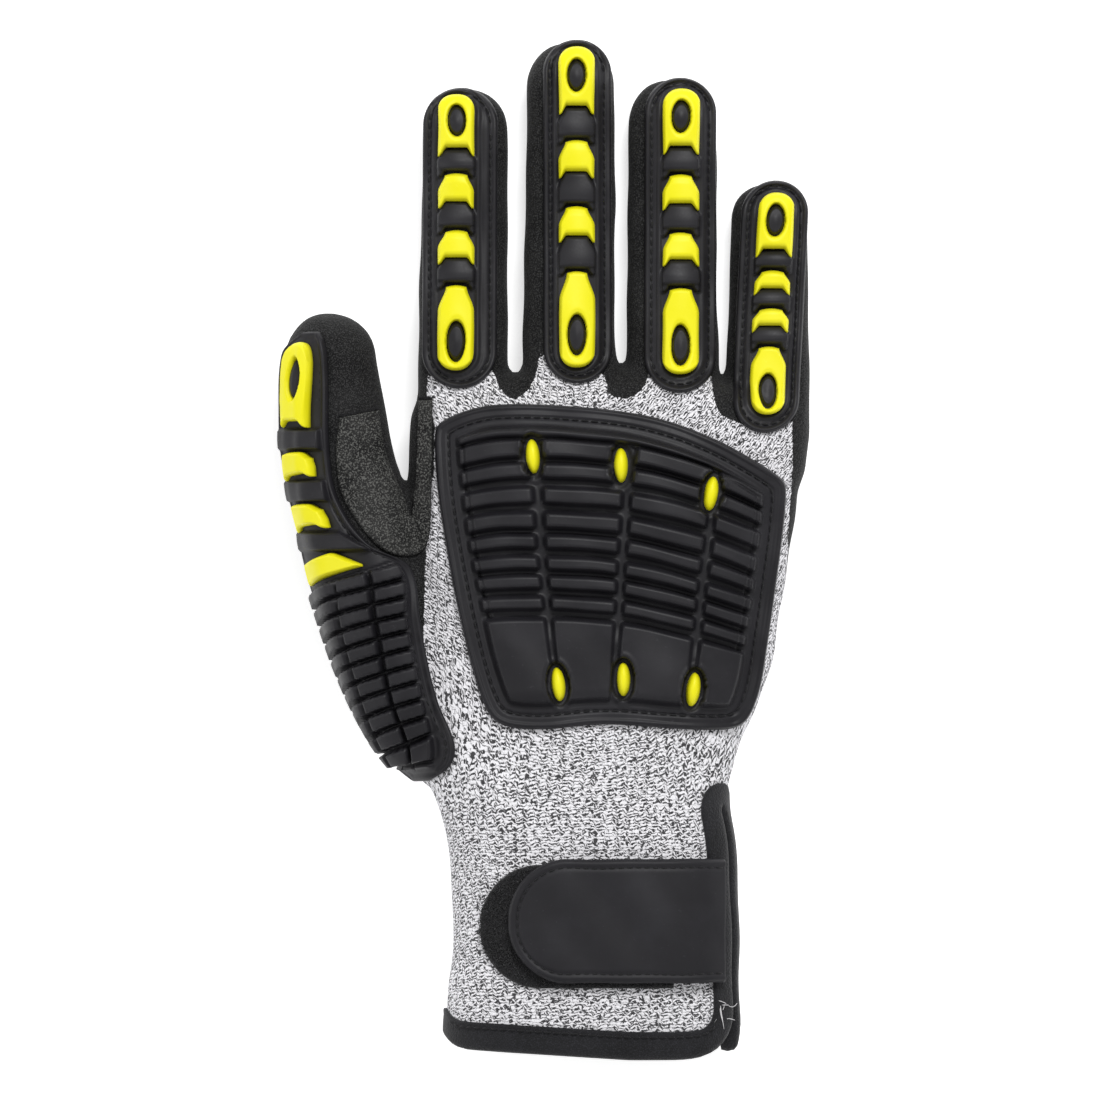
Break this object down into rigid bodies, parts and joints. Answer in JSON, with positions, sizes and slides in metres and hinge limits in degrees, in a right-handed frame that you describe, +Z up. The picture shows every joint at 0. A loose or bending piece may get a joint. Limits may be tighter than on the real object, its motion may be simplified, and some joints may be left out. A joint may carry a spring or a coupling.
{
  "type": "impact glove",
  "caption": "Right-hand impact glove: marl knit back and cuff, black dipped palm, moulded rubber guards with bright yellow inserts, and a closure strap at the wrist.",
  "frame": {"origin": "on the floor, under the centre of the glove's bounding box", "axes": "+Y from the hem to the fingertips, +Z up out of the back of the hand, +X from the thumb to the little finger"},
  "size_m": [0.1378, 0.2668, 0.0391],
  "materials": {
    "knit": "grey and white marl knit",
    "coating": "fine sandy nitrile dip",
    "patch": "coarse grain reinforcement",
    "guard": "satin moulded rubber",
    "insert": "bright yellow moulded rubber",
    "tape": "black folded elastic tape",
    "pile": "black loop pile",
    "strap": "smooth rubber face"
  },
  "bodies": {
    "root": {"knit_shell": "knit", "coated_palm": "coating", "thumb_coating": "coating", "index_knit": "knit", "index_coating": "coating", "middle_knit": "knit", "middle_coating": "coating", "ring_knit": "knit", "ring_coating": "coating", "little_knit": "knit", "little_coating": "coating", "crotch_patch": "patch", "index_guard": "guard", "index_insert_tip": "insert", "index_insert_outer": "insert", "index_insert_inner": "insert", "index_insert_knuckle": "insert", "middle_guard": "guard", "middle_insert_tip": "insert", "middle_insert_outer": "insert", "middle_insert_inner": "insert", "middle_insert_knuckle": "insert", "ring_guard": "guard", "ring_insert_tip": "insert", "ring_insert_outer": "insert", "ring_insert_inner": "insert", "ring_insert_knuckle": "insert", "little_guard": "guard", "little_insert_tip": "insert", "little_insert_outer": "insert", "little_insert_inner": "insert", "little_insert_knuckle": "insert", "thumb_guard": "guard", "thumb_insert_tip": "insert", "thumb_insert_outer": "insert", "thumb_insert_inner": "insert", "thumb_insert_base": "insert", "back_guard": "guard", "back_insert_1": "insert", "back_insert_2": "insert", "back_insert_3": "insert", "back_insert_4": "insert", "back_insert_5": "insert", "back_insert_6": "insert", "cuff_binding": "tape", "loop_patch": "pile", "strap": "strap"}
  },
  "joints": []
}
